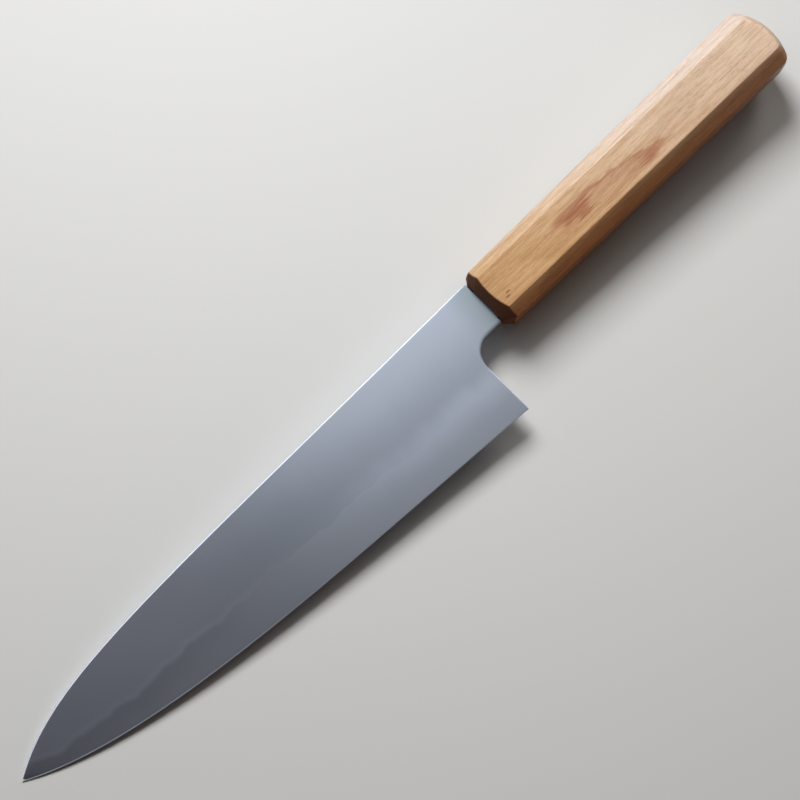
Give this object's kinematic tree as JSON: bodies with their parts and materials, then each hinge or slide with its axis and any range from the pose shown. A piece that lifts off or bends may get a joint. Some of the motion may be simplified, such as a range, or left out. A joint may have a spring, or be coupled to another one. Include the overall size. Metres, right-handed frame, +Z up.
{
  "type": "kitchen knife",
  "caption": "Chef's knife: a laminated steel blade with a tapering spine and rounded choil, its hidden tang set in resin inside an octagonal oak handle with a crowned butt.",
  "frame": {"origin": "on the surface that the knife lies on, under the middle of its outline", "axes": "+X from the handle to the tip, +Y from the spine to the cutting edge, +Z up out of the blade's left face"},
  "size_m": [0.36, 0.0486, 0.0232],
  "materials": {
    "core_steel": "fine stone polish, a little darker than the cladding",
    "cladding_steel": "hazy satin, with soft scratches along the blade",
    "oak": "sanded and oiled, with open pores along the grain",
    "resin": "cured dark resin, dull"
  },
  "bodies": {
    "root": {"core_steel": "core_steel", "left_cladding": "cladding_steel", "right_cladding": "cladding_steel", "handle": "oak", "tang_adhesive": "resin"}
  },
  "joints": []
}
